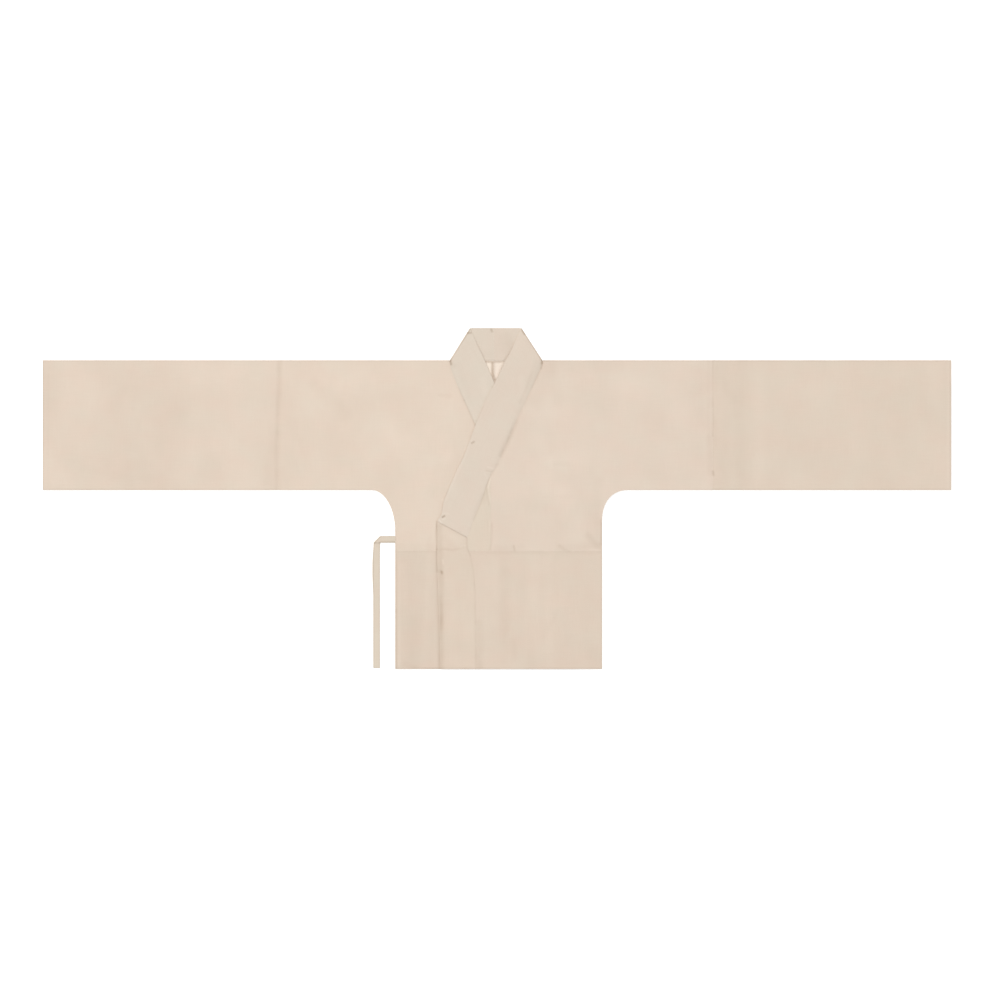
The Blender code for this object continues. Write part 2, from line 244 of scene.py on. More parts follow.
RIGHT_SLEEVE_SEAM = (
    Mark(((-522, 332), (-522, 270), (-526, 190), (-529, 110), (-527, 20)), 10.0, 0.4, 0.07),
    Mark(((-531, 150), (-548, 40)), 26.0, 0.15, 0.03))
# Painted shade along the right waist seam
RIGHT_WAIST_SEAM = (
    Mark(((-225, -127), (-190, -128), (-150, -127)), 6.0, 0.15, 0.025),
    Mark(((-243, -118), (-150, -118)), 13.0, 0.1, 0.03),
    Mark(((-243, -126), (60, -126)), 5.0, 0.15, 0.0))
# Painted shadow along the front band's edge above the waist, on the band and on the cloth beside it
FRONT_EDGE_UPPER = (
    Mark(((-144.8, -56), (-144.8, -122)), 3.2, 0.2, 0.20),
    Mark(((-144.8, -122), (-143.4, -175)), 3.4, 0.2, 0.10),
    Mark(((-138, -66), (-137, -120)), 11.0, 0.2, 0.09),
    Mark(((-137, -128), (-136, -170)), 12.0, 0.2, 0.11))
# Painted shade along the right side edge
RIGHT_SIDE_EDGE = (
    Mark(((-244, -126), (-244, -80)), 5.0, 0.4, 0.10),
    Mark(((-243.2, -409), (-243.2, -270)), 7.0, 0.3, 0.15),
    Mark(((-243.2, -270), (-243.2, -126)), 7.0, 0.3, 0.09))
# Painted shade along the inner collar's sewn edge, and a painted shadow in the neck corner
INNER_SEWN_EDGE = (
    Mark(((-114, 330), (-111, 317), (-105, 296), (-84, 246), (-66, 207), (-52, 176)), 7.0, 0.25, 0.03),
    Mark(((-92, 264), (-79, 236)), 3.2, 0.25, 0.07),
    Mark(((-79, 236), (-66, 207), (-52, 176)), 3.2, 0.25, 0.10),
    Mark(((-112, 331), (-110, 322)), 4.5, 0.2, 0.30),
    Mark(((-110, 331), (-103, 317)), 8.0, 0.1, 0.06))
# Painted shade of the centre back seam, painted shadow under the collar in the neck opening, painted
# highlights beside the collar's free edges, and painted shade along the seams and low ridges beneath
BACK_MARKS = (
    Mark(((-11.4, 324), (-11.0, 298), (-6, 283)), 5.4, 0.2, 0.48),
    Mark(((-7.2, 324), (-7.0, 298), (-4, 286)), 6.0, 0.1, 0.20),
    Mark(((-11.2, 312), (-10.4, 290)), 4.6, 0.1, 0.14),
    Mark(((-38, 328.2), (28, 328.2)), 4.2, 0.1, 0.46),
    Mark(((-30, 331), (-14, 294)), 3.0, 0.0, -0.04),
    Mark(((13, 326), (-3, 291)), 5.0, 0.0, -0.12),
    Mark(((CENTRE_BACK, 262), (CENTRE_BACK, -126)), 4.0, -0.1, 0.10),
    Mark(((-243, -127), (252, -127)), 5.0, -0.1, 0.06),
    Mark(((-526, 325), (-526, 21)), 5.0, -0.1, 0.10),
    Mark(((518, 325), (518, 21)), 5.0, -0.1, 0.10),
    Mark(((-700, 120), (-620, 160)), 26.0, -0.3, 0.03),
    Mark(((-330, 150), (-260, 190)), 22.0, -0.3, 0.04),
    Mark(((-120, 60), (-60, 40)), 16.0, -0.3, 0.04),
    Mark(((80, -30), (150, -50)), 18.0, -0.3, 0.04),
    Mark(((260, 220), (340, 190)), 24.0, -0.3, 0.03),
    Mark(((720, 240), (800, 200)), 26.0, -0.3, 0.03),
    Mark(((-100, -150), (-104, -380)), 14.0, -0.3, 0.03),
    Mark(((60, -150), (66, -390)), 18.0, -0.3, 0.03),
    Mark(((170, -160), (166, -330)), 14.0, -0.3, 0.03))
# Painted shade along the shoulder and underarm edges and in soft creases, soft darker and paler patches over
# shallow troughs and ridges, and a painted highlight beside the outer collar's free edge against its shadow
BODY_RIGHT_MARKS = (
    Mark(((-526, 331.3), (-114, 331.3)), 3.5, 0.0, 0.13),
    Mark(((-526, 19.3), (-300, 19.3)), 4.0, 0.3, 0.15),
    Mark(((-138, 248), (-124, 246), (-112, 246)), 8.0, 0.3, 0.04),
    Mark(((-150, 6), (-147, 60), (-120, 130)), 14.0, 0.2, 0.015),
    Mark(((-437, 272), (-400, 240), (-365, 200)), 26.0, 0.3, 0.03),
    Mark(((-500, 250), (-490, 60)), 60.0, 0.2, 0.015),
    Mark(((-420, 170), (-350, 90)), 60.0, 0.2, 0.015),
    Mark(((-350, 280), (-230, 290)), 55.0, -0.2, -0.03),
    Mark(((-240, 150), (-170, 60)), 55.0, -0.25, -0.03),
    Mark(((-166, 160), (-150, 100)), 36.0, -0.2, -0.02),
    Mark(((-161, -98), (-161, -124)), 15.0, 0.1, 0.025),
    Mark(((-128, 142), (-120, 96)), 28.0, -0.2, -0.04),
    Mark(((-68, 140), (-84, 97), (-98, 70), (-118, 22), (-130, -4)), 4.0, 0.0, -0.06))


def mix(start, end, share):
    """Return the number or point at a share of the way from start to end."""
    if isinstance(start, tuple):
        return tuple(mix(one, other, share) for one, other in zip(start, end))
    return start + (end - start) * share


def curve(rows, column, position):
    """Read a column at a place between its rows, along a smooth curve through them."""
    step = max(0, min(int(position), len(rows) - 2))
    share = position - step
    before, start, end, after = (
        getattr(rows[max(0, min(len(rows) - 1, step + offset))], column) for offset in (-1, 0, 1, 2))
    slope_start, slope_end = (end - before) / 2, (after - start) / 2
    rest = end - start
    return (start + slope_start * share + (3 * rest - 2 * slope_start - slope_end) * share ** 2
            + (slope_start + slope_end - 2 * rest) * share ** 3)


def closer(step, steps):
    """Return the share at a step, with the steps closer together at both ends."""
    share = step / steps
    return share - CLOSER * math.sin(2 * math.pi * share) / (2 * math.pi)


def soft(share):
    """Rise softly from 0 to 1."""
    share = max(0.0, min(1.0, share))
    return share * share * (3 - 2 * share)


def fold_height(folds, x, y):
    """The height that soft folds add at a point; each one fades out over its two ends."""
    height = 0.0
    for fold in folds:
        across = abs(x - fold.x) / fold.half_width
        inside = min(fold.top - y, y - fold.low)
        if across < 1 and inside > 0:
            height += fold.height * (1 - across ** 2) ** 2 * soft(inside / FOLD_FADE)
    return height


def settled(half, x, y):
    """How freely a front lies: 0 where a closed edge presses it down, and 1 well inside."""
    out = half.way * x - half.side
    above = y - UNDERARM
    if out >= 0:
        to_seam = max(above, 0.0)
    elif above >= 0:
        to_seam = math.hypot(out, above)
    else:
        to_seam = -out
    return soft(min(SHOULDER - y, to_seam) / SETTLE)


def front_level(half, x, y):
    """The height of the middle of a front's cloth."""
    rise = np.interp(half.way * x, [row.out for row in half.rise], [row.height for row in half.rise])
    return FRONT_LEVEL + CLOTH / 2 + rise * settled(half, x, y) + fold_height(half.folds, x, y)


def front_spot(half, x, y):
    """A point of a front, at its own place on the flat cloth."""
    return Spot(x, y, front_level(half, x, y), settled(half, x, y), x, y, 0.0)


def marked(x, y, marks):
    """How deep marks make the cloth, and how much shade they paint on it, at arrays of points."""
    depth = np.zeros_like(x)
    shade = np.zeros_like(x)
    for mark in marks:
        nearest = np.full_like(x, np.inf)
        for start, end in zip(mark.points, mark.points[1:]):
            run_x, run_y = end[0] - start[0], end[1] - start[1]
            share = ((x - start[0]) * run_x + (y - start[1]) * run_y) / (run_x ** 2 + run_y ** 2)
            share = np.clip(share, 0.0, 1.0)
            away = np.hypot(x - start[0] - share * run_x, y - start[1] - share * run_y)
            nearest = np.minimum(nearest, away)
        inside = np.clip(1 - (nearest / mark.width) ** 2, 0.0, 1.0) ** 2
        depth += mark.depth * inside
        shade += mark.shade * inside
    return np.array((depth, shade))


def uneven(x, y, length):
    """A smooth unevenness about 0 at arrays of points, that changes over a length."""
    return np.array([noise.noise((one / length, other / length, UNEVEN_PLANE)) for one, other in zip(x, y)])


def lay(name, columns, rows, place, wall, marks, low_marks=(), opened=None):
    """Lay a fine grid of cloth by a function of its column and row, press its marks in and paint their shade,
    and give it a wall.

    The low marks are for the stretch that lies on the table, where a spot's freedom is under 0.
    """
    deselect()
    bpy.ops.mesh.primitive_grid_add(x_subdivisions=columns, y_subdivisions=rows, size=1)
    piece = bpy.context.active_object
    piece.name = name
    mesh = piece.data
    mesh.name = name
    if opened:
        bpy.ops.object.mode_set(mode="EDIT")
        bpy.ops.mesh.select_all(action="DESELECT")
        bpy.ops.object.mode_set(mode="OBJECT")
        for face in mesh.polygons:
            column = math.floor((face.center.x + 0.5) * columns)
            face.select = opened(column, math.floor((face.center.y + 0.5) * rows))
        bpy.ops.object.mode_set(mode="EDIT")
        bpy.ops.mesh.delete(type="FACE")
        bpy.ops.object.mode_set(mode="OBJECT")
    spots = Spot(*np.array([
        place(round((point.co.x + 0.5) * columns), round((point.co.y + 0.5) * rows))
        for point in mesh.vertices]).T)
    # The marks press troughs in and paint their shade, a painted highlight where the shade is under 0
    pressed = np.where(spots.free < 0, marked(spots.x, spots.y, low_marks), marked(spots.x, spots.y, marks))
    depth, shade = pressed * (1 + UNEVEN * uneven(spots.x, spots.y, UNEVEN_LENGTH))
    waves = WAVE_HEIGHT * uneven(spots.x, spots.y, WAVE_LENGTH)
    height = np.maximum(spots.z + np.maximum(spots.free, 0.0) * waves - depth, wall / 2)
    mesh.vertices.foreach_set("co", np.stack((spots.x, spots.y, height), axis=1).ravel() * MM)
    # The shade attribute holds the painted shade and painted highlight of the marks and of each spot
    shades = mesh.attributes.new("shade", "FLOAT", "POINT")
    shades.data.foreach_set("value", spots.shade + shade)
    flat = mesh.uv_layers[0]
    flat.name = "flat"
    corners = np.empty(len(mesh.loops), int)
    mesh.loops.foreach_get("vertex_index", corners)
    flat.data.foreach_set("uv", np.stack((spots.across, spots.along), axis=1)[corners].ravel() * MM)
    thick = piece.modifiers.new("Wall", "SOLIDIFY")
    thick.thickness = wall * MM
    thick.offset = 0.0
    rounded = piece.modifiers.new("Rounding", "BEVEL")
    rounded.width = ROUNDING * MM
    rounded.segments = ROUNDING_STEPS
    rounded.limit_method = "ANGLE"
    rounded.angle_limit = math.radians(ROUNDED_ANGLE)
    rounded.harden_normals = True
    bpy.ops.object.modifier_apply(modifier="Wall")
    bpy.ops.object.shade_smooth_by_angle(angle=math.radians(SMOOTH_ANGLE))
    bpy.ops.object.modifier_apply(modifier="Rounding")
    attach(piece, "root")
    return piece


def fit(piece, node, cloth):
    """Give a piece its cloth, and put it in the place of a solid."""
    piece.data.materials.append(cloth)
    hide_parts(node)


# Loom cloth: its threads, slubs and patches in metres, and how much of each shows in its colour and relief.
# Plain cloth lies at REST on the way from its pale colour to its dark one.
THREAD = 0.0008
THREAD_SHADE = 0.006
THREAD_RELIEF = 0.3
SLUB_LENGTH = 0.05
SLUB_WIDTH = 0.0022
SLUB_DETAIL = 2.0
SLUB_SHADE = 0.05
PATCH = 0.11
PATCH_ALONG = 0.7
PATCHINESS = 0.14
NOISE_MIDDLE = 0.5
HUE_ACROSS = 1.6
HUE_ALONG = 2.1
HUE_CONTRAST = 3.0
WARM = (1.008, 0.99, 0.99)
GREENISH = (0.992, 1.01, 1.01)
# Painted shade moves plain cloth from REST toward DARK, and a painted highlight moves it toward the pale
# colour
REST = 0.3
DARK = (0.50, 0.42, 0.34)
BUMP = 0.0002
BUMP_STRENGTH = 0.6
ROUGHNESS = 0.86
SLUB_ROUGHNESS = 0.2
SHINE = 0.25
FUZZ = 0.08
FUZZ_ROUGHNESS = 0.6


def tinted(colour, tint):
    """Return a colour with its three channels tinted, and an opaque fourth one."""
    return (*(channel * share for channel, share in zip(colour, tint)), 1.0)


def woven(name, colour, patchiness=PATCHINESS):
    """Matt plain weave with slubs along both threads, faint warm and green patches, and the painted shade and
    painted highlight of the marks.
    """
    cloth = Finish(name)
    flat = cloth.add("UVMap", {"uv_map": "flat"}, {})
    across, along = (cloth.add("SeparateXYZ", {}, {0: flat}, output) for output in (0, 1))

    def streaks(across_scale, along_scale):
        place = cloth.add("CombineXYZ", {}, {0: across * across_scale, 1: along * along_scale})
        noise_inputs = {"Vector": place, "Scale": 1.0, "Detail": SLUB_DETAIL}
        return cloth.add("TexNoise", {}, noise_inputs) - NOISE_MIDDLE

    turn = 2 * math.pi / THREAD
    weave = (across * turn).math("SINE") * (along * turn).math("SINE")
    slubs = streaks(1 / SLUB_WIDTH, 1 / SLUB_LENGTH) + streaks(1 / SLUB_LENGTH, 1 / SLUB_WIDTH)
    patches = streaks(1 / PATCH, PATCH_ALONG / PATCH)
    hue = HUE_CONTRAST * streaks(HUE_ACROSS / PATCH, HUE_ALONG / PATCH) + NOISE_MIDDLE
    shade = cloth.add("Attribute", {"attribute_name": "shade"}, {}, 2)
    pale = [channel * (1 - REST * dark) / (1 - REST) for channel, dark in zip(colour, DARK)]
    light = cloth.add("Mix", {"data_type": "RGBA"},
                      {0: hue, 6: tinted(pale, WARM), 7: tinted(pale, GREENISH)}, 2)
    # The painted shade of the marks, with the cloth's own patches, slubs and weave, moves the colour toward
    # the dark one
    painted_shade_and_tone = shade + REST + patchiness * patches + SLUB_SHADE * slubs + THREAD_SHADE * weave
    tone = cloth.add("Mix", {"data_type": "RGBA"}, {0: painted_shade_and_tone, 6: light, 7: tinted(colour, DARK)}, 2)
    height = THREAD_RELIEF * weave + slubs
    normal = cloth.add("Bump", {}, {"Height": height, "Strength": BUMP_STRENGTH, "Distance": BUMP})
    cloth.set(Base_Color=tone, Roughness=ROUGHNESS + SLUB_ROUGHNESS * slubs, Normal=normal,
              Specular_IOR_Level=SHINE, Sheen_Weight=FUZZ, Sheen_Roughness=FUZZ_ROUGHNESS)
    return cloth.material


def underarm_ends(half):
    """The ends of the lines that fan out from the shoulder: down the side, round the underarm and on."""
    low = UNDERARM - half.arm_height
    ends = [(half.side, mix(WAIST + SHORT, low, step / SIDE_STEPS)) for step in range(SIDE_STEPS)]
    for step in range(ARM_STEPS + 1):
        turn = math.pi / 2 * step / ARM_STEPS
        across = math.cos(turn) ** (2 / half.arm_power)
        up = math.sin(turn) ** (2 / half.arm_power)
        ends.append((half.side + half.arm_width * (1 - across), low + half.arm_height * up))
    curve_end = half.side + half.arm_width
    for step in range(1, UNDERARM_STEPS + 1):
        ends.append((mix(curve_end, half.sleeve_seam - SHORT, step / UNDERARM_STEPS), UNDERARM))
    return ends


def folded(lines, half):
    """Place the points of a cloth that goes up the back, round the shoulder fold and down the front."""
    def place(column, row):
        line = lines[column]
        if row <= BACK_ROWS:
            x, y = mix(line.back_top, line.back_end, (1 - row / BACK_ROWS) ** TOWARD_SHOULDER)
            return Spot(x, y, SHELL / 2, ON_TABLE, x, 2 * SHOULDER - y, INSIDE)
        if row < BACK_ROWS + FOLD_ROWS:
            turn = math.pi * (row - BACK_ROWS) / FOLD_ROWS
            x, y = line.back_top
            low, high = SHELL / 2, FRONT_LEVEL + CLOTH / 2
            height = mix(low, high, (1 - math.cos(turn)) / 2)
            # The shoulder fold carries a line of painted shade along the edge
            return Spot(x, y + FOLD_RADIUS * math.sin(turn), height, 0.0, x, SHOULDER, FOLD_SHADE)
        x, y = mix(line.front_top, line.front_end, closer(row - BACK_ROWS - FOLD_ROWS, FRONT_ROWS))
        return front_spot(half, x, y)
    return place


def upper_body(half, collar, centre_row, centre_front, colour, marks):
    """One half of the upper body, back and front in one cloth, with its front cut to the collar."""
    back_edge = CENTRE_BACK + half.way * SHORT
    corner = collar[0].sewn_x + half.way * SEAM
    turn = half.way * SHOULDER_TURN
    lines = []
    for step in range(NECK_STEPS):
        share = step / NECK_STEPS
        row = centre_row * (1 - share)
        back_x = mix(back_edge, corner, share)
        front_x = curve(collar, "sewn_x", row)
        if step == 0:
            front_x = centre_front + half.way * SHORT
        front_top = (front_x, curve(collar, "sewn_y", row))
        front_end = (mix(centre_front + half.way * SHORT, corner, share), WAIST + SHORT)
        lines.append(Line((back_x, WAIST + SHORT), (back_x, FOLD_LINE), front_top, front_end))
    for step in range(SHOULDER_STEPS):
        top = (mix(corner, turn, step / SHOULDER_STEPS), FOLD_LINE)
        end = (mix(corner, half.way * half.side, step / SHOULDER_STEPS), WAIST + SHORT)
        lines.append(Line(end, top, top, end))
    ends = underarm_ends(half)
    for step, (out, y) in enumerate(ends):
        top = (half.way * mix(SHOULDER_TURN, half.sleeve_seam - SHORT, step / (len(ends) - 1)), FOLD_LINE)
        end = (half.way * out, y)
        lines.append(Line(end, top, top, end))

    def neck_opening(column, row):
        return column < NECK_STEPS and BACK_ROWS <= row < BACK_ROWS + FOLD_ROWS

    name = "body_" + half.name
    piece = lay(name + "_cloth", len(lines) - 1, BACK_ROWS + FOLD_ROWS + FRONT_ROWS,
                folded(lines, half), SHELL, marks, BACK_MARKS, neck_opening)
    fit(piece, name, woven(name, colour))


upper_body(RIGHT, INNER_COLLAR, INNER_CENTRE, INNER_CENTRE_FRONT, BODY_RIGHT_COLOUR,
           RIGHT_SLEEVE_SEAM + RIGHT_WAIST_SEAM + RIGHT_SIDE_EDGE + FRONT_EDGE_UPPER + INNER_SEWN_EDGE
           + BODY_RIGHT_MARKS)


# The left half of the upper body
# The same cut as the right half. Its front lies over the right one, so it is raised by the layers beneath,
# and the outer collar is sewn along it, with a soft double line of painted shade.
OUTER_CENTRE_FRONT = -14.4
BODY_LEFT_COLOUR = (0.732, 0.613, 0.508)
LEFT = Half(
    name="left", way=1, side=252.0, sleeve_seam=518.0, arm_width=65.0, arm_height=76.3, arm_power=2.3,
    rise=(Rise(252.0, OUTER_RISE), Rise(518.0, 1.4), Rise(800.0, 1.7), Rise(1090.0, 0.7)),
    folds=(Fold(-14.0, -150.0, -400.0, 18.0, 0.4), Fold(46.0, -128.0, -409.0, 22.0, 0.6),
           Fold(96.0, -140.0, -405.0, 26.0, 0.8), Fold(156.0, -128.0, -395.0, 24.0, 0.6),
           Fold(208.0, -170.0, -409.0, 24.0, 0.5)))
OUTER_COLLAR = (
    Section(59.0, 409.0, 109.0, 330.0, 0.0),
    Section(45.5, 380.5, 107.5, 318.0, 0.25),
    Section(32.0, 351.5, 95.7, 293.0, 0.55),
    Section(18.0, 329.0, 82.4, 263.4, 0.85),
    Section(-6.0, 276.0, 60.8, 218.0, 1.0),
    Section(-25.5, 239.0, 46.3, 187.5, 1.0),
    Section(-48.0, 186.0, 26.8, 138.3, 1.0),
    Section(-65.0, 140.5, 13.3, 111.0, 1.0),
    Section(-81.5, 97.0, 0.6, 81.0, 1.0),
    Section(-96.0, 69.5, OUTER_CENTRE_FRONT, 57.0, 1.0),
    Section(-104.0, 50.0, -26.0, 32.0, 1.0),
    Section(-112.0, 32.0, -39.0, -8.5, 1.0),
    Section(-127.0, -3.5, -56.0, -49.0, 1.0),
    Section(-133.0, -36.0, -67.0, -82.5, 1.0),
    Section(-144.0, -54.5, -72.0, -93.0, 1.0))
OUTER_CENTRE = 9

# Painted shade along the left sleeve seam and beside it, with a small dark nick
LEFT_SLEEVE_SEAM = (
    Mark(((518, 332), (517, 270), (519, 190), (518, 150)), 3.8, 0.35, 0.10),
    Mark(((518, 240), (518, 222)), 4.5, 0.2, 0.06),
    Mark(((509, 326), (510, 60)), 10.0, 0.1, 0.045),
    Mark(((510, 238), (510, 222)), 9.0, 0.1, 0.03),
    Mark(((507, 148), (508, 128)), 10.0, 0.1, 0.03),
    Mark(((525, 318), (524, 120)), 8.0, 0.1, 0.03),
    Mark(((518, 150), (516, 100), (518, 20)), 6.0, 0.25, 0.03),
    Mark(((495, 325), (497, 180)), 26.0, 0.15, 0.03),
    Mark(((519, 64), (520, 56)), 4.0, 0.3, 0.20))
# Painted shade along the left waist seam and the overlap's creases above it, with painted highlights on small
# ridges
LEFT_WAIST_SEAM = (
    Mark(((-62, -131), (0, -132), (130, -131), (252, -130)), 8.0, 0.15, 0.015),
    Mark(((-18, -127), (50, -130)), 10.0, 0.15, 0.025),
    Mark(((60, -130), (112, -131)), 7.0, 0.1, 0.03),
    Mark(((-12.5, -62), (-11.5, -86), (-12.5, -104), (-16, -122)), 5.0, 0.3, 0.06),
    Mark(((-17.5, -54), (-17.5, -78)), 3.5, -0.1, -0.05),
    Mark(((-21.5, -56), (-22, -108)), 3.2, 0.1, 0.02),
    Mark(((40, -114), (43, -126)), 4.0, 0.25, 0.12),
    Mark(((150, -114), (160, -122), (172, -128)), 6.0, 0.25, 0.06),
    Mark(((218, -88), (238, -112)), 13.0, 0.25, 0.07),
    Mark(((180, -132), (250, -131)), 8.0, 0.2, 0.02),
    Mark(((222, -123), (246, -124)), 3.0, -0.2, -0.06),
    Mark(((0, -118), (60, -118)), 13.0, 0.1, 0.03),
    Mark(((150, -119), (250, -114)), 14.0, 0.1, 0.04))
# Painted shade along the left side edge
LEFT_SIDE_EDGE = (
    Mark(((252, -409), (252, -60)), 3.6, 0.3, 0.09),
    Mark(((251, -52), (251, -110)), 5.0, 0.3, 0.13))
# The soft double line of painted shade along the outer collar's sewn edge, and a painted shadow in the neck
# corner
OUTER_SEWN_EDGE = (
    Mark(((109, 331), (104, 312), (94, 290), (82, 263), (60, 217), (38, 166), (26, 136), (13, 111), (1, 82)),
         10.0, 0.3, 0.045),
    Mark(((1, 82), (-14, 57)), 6.0, 0.2, 0.06),
    Mark(((-14, 57), (-26, 32)), 6.0, 0.2, 0.03),
    Mark(((109, 332), (107, 324)), 4.0, 0.2, 0.25),
    Mark(((108.5, 326), (106, 313)), 4.5, 0.2, 0.14),
    Mark(((105, 312), (95, 288), (83, 264)), 4.5, 0.2, 0.05),
    Mark(((46, 184), (33, 152), (21, 126), (9, 104)), 10.0, 0.3, 0.075),
    Mark(((36, 168), (33, 158)), 5.0, 0.2, 0.05),
    Mark(((29, 148), (25, 138)), 5.0, 0.2, 0.04),
    Mark(((14, 114), (8, 102)), 6.0, 0.2, 0.05))
# Painted shade along the shoulder and underarm edges and in soft creases, and soft darker and paler patches
# over shallow troughs and ridges
BODY_LEFT_MARKS = (
    Mark(((114, 331.3), (518, 331.3)), 3.5, 0.0, 0.13),
    Mark(((112, 331), (124, 331)), 4.0, 0.1, 0.10),
    Mark(((518, 19.3), (310, 19.3)), 4.0, 0.3, 0.16),
    Mark(((122, 306), (92, 232)), 34.0, 0.15, 0.05),
    Mark(((158, 30), (160, -40)), 26.0, -0.15, -0.03),
    Mark(((244, 40), (246, -50)), 20.0, 0.15, 0.03),
    Mark(((138, 82), (170, 82)), 8.0, 0.25, 0.03),
    Mark(((112, 3), (190, 2)), 9.0, 0.25, 0.015),
    Mark(((60, -12), (110, -26)), 26.0, 0.2, 0.02),
    Mark(((110, 70), (190, 90)), 45.0, -0.25, -0.03),
    Mark(((120, 25), (170, -5)), 34.0, -0.2, -0.03),
    Mark(((230, -20), (232, -110)), 32.0, 0.15, 0.03),
    Mark(((480, 300), (486, 60)), 32.0, 0.15, 0.022),
    Mark(((90, 215), (170, 200)), 30.0, -0.2, -0.015),
    Mark(((140, 322), (290, 318)), 30.0, 0.15, 0.03),
    Mark(((300, 230), (420, 160)), 40.0, 0.2, 0.015),
    Mark(((380, 60), (470, 40)), 40.0, 0.2, 0.015),
    Mark(((320, 270), (350, 255)), 40.0, -0.2, -0.02),
    Mark(((244, -62), (244, -118)), 15.0, 0.1, 0.03),
    Mark(((185, 30), (187, -55)), 24.0, -0.1, -0.022),
    Mark(((96, 138), (124, 100)), 30.0, -0.2, -0.04),
    Mark(((137, 290), (146, 232)), 24.0, 0.2, 0.035))

upper_body(LEFT, OUTER_COLLAR, OUTER_CENTRE, OUTER_CENTRE_FRONT, BODY_LEFT_COLOUR,
           LEFT_SLEEVE_SEAM + LEFT_WAIST_SEAM + LEFT_SIDE_EDGE + OUTER_SEWN_EDGE + BODY_LEFT_MARKS)


# The sleeves
# Each is a length of the same cloth pieced on to the body, folded at the top and sewn below, open at the
# cuff. The cuff is turned in once and blind stitched, so it only shows as a faint second edge, a shallow
# trough with a faint painted line, darker on the right sleeve and paler on the left.
HALF_SPAN = 1090.0
SLEEVE_STEPS = 118
SLEEVE_FRONT_ROWS = 80
SLEEVE_RIGHT_COLOUR = (0.739, 0.617, 0.508)
SLEEVE_LEFT_COLOUR = (0.707, 0.592, 0.485)
# Painted shade along the sleeve's top, underarm and cuff edges, a faint painted line at the turned-in cuff,
# and soft darker and paler patches
SLEEVE_RIGHT_MARKS = (
    Mark(((-1090, 331.3), (-526, 331.3)), 3.5, 0.0, 0.12),
    Mark(((-1090, 20.3), (-526, 20.3)), 4.0, 0.3, 0.12),
    Mark(((-1090, 331), (-1090, 21)), 3.5, 0.2, 0.22),
    Mark(((-1076, 325), (-1076, 27)), 4.0, 0.2, 0.02),
    Mark(((-860, 270), (-850, 180), (-880, 60)), 90.0, 0.3, 0.035),
    Mark(((-780, 210), (-800, 40)), 70.0, 0.2, 0.028),
    Mark(((-930, 200), (-960, 60)), 60.0, 0.2, 0.012),
    Mark(((-1078, 300), (-1074, 150)), 46.0, 0.2, 0.028),
    Mark(((-1074, 62), (-1040, 46)), 50.0, -0.2, -0.03),
    Mark(((-664, 130), (-600, 50)), 50.0, -0.25, -0.03),
    Mark(((-700, 300), (-560, 290)), 60.0, -0.2, -0.03),
    Mark(((-990, 70), (-880, 40)), 18.0, 0.2, 0.015))
# Painted shade along the sleeve's edges and in a strip beside its seam, a faint painted highlight at the
# turned-in cuff, and soft darker and paler patches
SLEEVE_LEFT_MARKS = (
    Mark(((518, 331.3), (1090, 331.3)), 3.5, 0.0, 0.17),
    Mark(((518, 20.3), (1090, 20.3)), 4.0, 0.3, 0.13),
    Mark(((1090, 331), (1090, 21)), 3.5, 0.2, 0.16),
    Mark(((1082, 325), (1082, 27)), 4.0, 0.1, -0.03),
    Mark(((540, 331), (540, 21)), 26.0, 0.2, 0.02),
    Mark(((562, 331), (562, 21)), 26.0, 0.2, 0.015),
    Mark(((584, 331), (584, 21)), 22.0, 0.2, 0.028),
    Mark(((552, 270), (568, 240)), 18.0, 0.15, 0.015),
    Mark(((630, 331), (628, 21)), 26.0, -0.2, -0.025),
    Mark(((828, 230), (830, 110)), 44.0, 0.2, 0.02),
    Mark(((570, 150), (568, 40)), 26.0, -0.1, -0.02),
    Mark(((1055, 310), (1050, 240)), 34.0, -0.15, -0.025),
    Mark(((960, 150), (1000, 90)), 44.0, 0.2, 0.022))


def fewer_rows(place):
    """The same places, with a sleeve's fewer rows on the front."""
    def placed(column, row):
        front_row = row - BACK_ROWS - FOLD_ROWS
        if front_row > 0:
            row = BACK_ROWS + FOLD_ROWS + front_row * FRONT_ROWS / SLEEVE_FRONT_ROWS
        return place(column, row)
    return placed


def sleeve(half, colour, marks):
    """A cloth folded at the top and closed by the underarm seam, open at the cuff."""
    lines = []
    for step in range(SLEEVE_STEPS + 1):
        x = half.way * mix(half.sleeve_seam + SHORT, HALF_SPAN, closer(step, SLEEVE_STEPS))
        lines.append(Line((x, UNDERARM), (x, FOLD_LINE), (x, FOLD_LINE), (x, UNDERARM)))
    name = "sleeve_" + half.name
    piece = lay(name + "_cloth", SLEEVE_STEPS, BACK_ROWS + FOLD_ROWS + SLEEVE_FRONT_ROWS,
                fewer_rows(folded(lines, half)), SHELL, marks, BACK_MARKS)
    fit(piece, name, woven(name, colour))


sleeve(RIGHT, SLEEVE_RIGHT_COLOUR, RIGHT_SLEEVE_SEAM + SLEEVE_RIGHT_MARKS)
sleeve(LEFT, SLEEVE_LEFT_COLOUR, LEFT_SLEEVE_SEAM + SLEEVE_LEFT_MARKS)


# The collar
# One long band, folded double and pressed, goes from the inner front round the back of the neck to the
# outer front. It turns over on a pressed crease at each of the neck's two corners, and its left half
# crosses over the right one.
COLLAR_RIGHT_COLOUR = (0.712, 0.618, 0.516)
COLLAR_LEFT_COLOUR = (0.716, 0.610, 0.508)
COLLAR_PATCHINESS = 0.10
COLLAR_TOP = 409.0
COLLAR_CLOTH = 1.6
COLLAR_SHELL = 1.2
COLLAR_SHORT = 3 * SHORT
COLLAR_LEVEL = COLLAR_CLOTH + SEAM
OUTER_COLLAR_RISE = FRONT_LEVEL + OUTER_RISE - COLLAR_LEVEL
COLLAR_COLUMNS = 34
NECK_ROWS = 24
COLLAR_ROWS = 230
